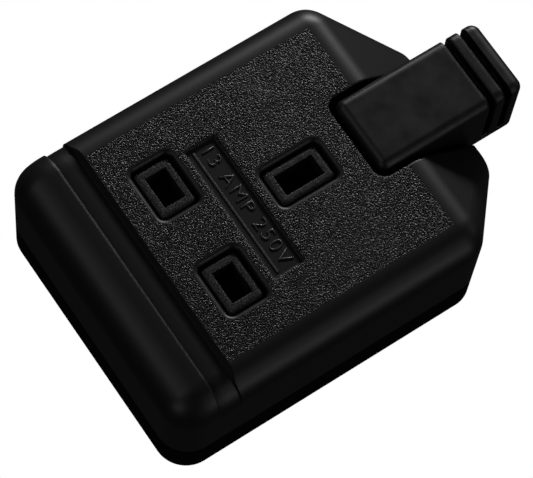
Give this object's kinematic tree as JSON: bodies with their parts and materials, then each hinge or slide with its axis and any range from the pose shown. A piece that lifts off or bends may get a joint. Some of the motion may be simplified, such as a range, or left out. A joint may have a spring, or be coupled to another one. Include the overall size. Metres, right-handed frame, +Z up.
{
  "type": "trailing socket",
  "caption": "Black heavy-duty trailing socket: boat-shaped moulded housing, three rectangular pin apertures with a sprung safety shutter, finger groove and ribbed cord guard.",
  "frame": {"origin": "on the underside, below the midpoint of the line and neutral apertures", "axes": "+Z up out of the deck, +X towards the cord guard, +Y towards the neutral aperture"},
  "size_m": [0.0915, 0.06, 0.0282],
  "materials": {
    "cover_black": "satin black moulding, grained on the deck",
    "base_black": "matt black moulding",
    "insert_black": "satin black moulding",
    "shutter_black": "smooth black moulding",
    "guard_rubber": "satin black flexible moulding",
    "steel": "zinc plated",
    "brass": "as stamped"
  },
  "bodies": {
    "housing": {"top_cover": "cover_black", "base": "base_black", "socket_insert": "insert_black", "contact_block": "insert_black", "shutter_spring": "steel", "block_screws": "steel", "line_contact": "brass", "neutral_contact": "brass", "earth_contact": "brass", "line_clip": "steel", "neutral_clip": "steel", "earth_clip": "steel", "line_terminal": "brass", "neutral_terminal": "brass", "earth_terminal": "brass", "terminal_screws": "steel", "cord_guard": "guard_rubber", "cord_clamp": "insert_black", "clamp_screws": "steel", "housing_screws": "steel", "housing_inserts": "brass"},
    "shutter": {"shutter": "shutter_black"}
  },
  "joints": [
    {"name": "shutter_slide", "type": "slide", "parent": "housing", "child": "shutter", "axis": [-1, 0, 0], "range_m": [0, 0.005], "stiffness_N_per_m": 150, "deforming": ["shutter_spring"]}
  ]
}
